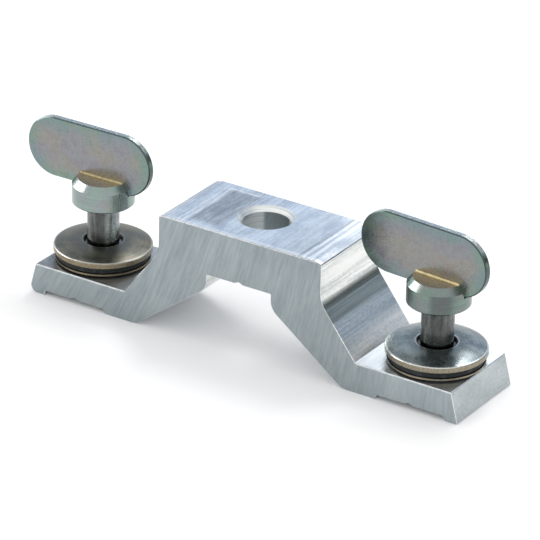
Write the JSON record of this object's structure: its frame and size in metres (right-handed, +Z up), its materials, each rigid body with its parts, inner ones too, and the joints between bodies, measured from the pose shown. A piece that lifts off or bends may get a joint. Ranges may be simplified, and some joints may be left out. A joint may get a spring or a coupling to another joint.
{
  "type": "clamp bracket",
  "caption": "Bridge-shaped aluminium clamp bracket with a bolt hole and spring-loaded quarter-turn wing fasteners that lock it to an equipment base.",
  "frame": {"origin": "centre of the flat face on top of the bridge", "axes": "+X along the bracket towards the right-hand fastener, +Z up out of the top face, the feet 34.5 mm below the origin"},
  "size_m": [0.1452, 0.0276, 0.0469],
  "materials": {
    "bracket_alloy": "mill finish extrusion with sawn ends",
    "plated_disc": "passivated zinc plate, slightly bronze",
    "plated_stud": "passivated zinc plate, turned",
    "plated_wing": "passivated zinc plate, iridescent",
    "hard_steel": "plain hardened steel",
    "spring_steel": "dark spring steel",
    "rubber": "matt black"
  },
  "bodies": {
    "base": {"bracket": "bracket_alloy", "left_lower_washer": "plated_disc", "left_rubber_ring": "rubber", "left_spring_cup": "plated_disc", "left_cover_washer": "plated_disc", "left_retaining_ring": "spring_steel", "left_spring": "spring_steel", "right_lower_washer": "plated_disc", "right_rubber_ring": "rubber", "right_spring_cup": "plated_disc", "right_cover_washer": "plated_disc", "right_retaining_ring": "spring_steel", "right_spring": "spring_steel"},
    "left_plunger": {"left_spring_seat": "plated_stud"},
    "left_fastener": {"left_stud": "plated_stud", "left_wing": "plated_wing", "left_cross_pin": "hard_steel"},
    "right_plunger": {"right_spring_seat": "plated_stud"},
    "right_fastener": {"right_stud": "plated_stud", "right_wing": "plated_wing", "right_cross_pin": "hard_steel"}
  },
  "joints": [
    {"name": "left_push", "type": "slide", "parent": "base", "child": "left_plunger", "axis": [0, 0, -1], "range_m": [0, 0.007], "stiffness_N_per_m": 1200, "springref_m": -0.003, "deforming": ["left_spring"]},
    {"name": "left_turn", "type": "hinge", "parent": "left_plunger", "child": "left_fastener", "pos_m": [-0.053, 0, -0.02575], "axis": [0, 0, 1], "continuous": true},
    {"name": "right_push", "type": "slide", "parent": "base", "child": "right_plunger", "axis": [0, 0, -1], "range_m": [0, 0.007], "stiffness_N_per_m": 1200, "springref_m": -0.003, "deforming": ["right_spring"]},
    {"name": "right_turn", "type": "hinge", "parent": "right_plunger", "child": "right_fastener", "pos_m": [0.053, 0, -0.02575], "axis": [0, 0, 1], "continuous": true}
  ]
}
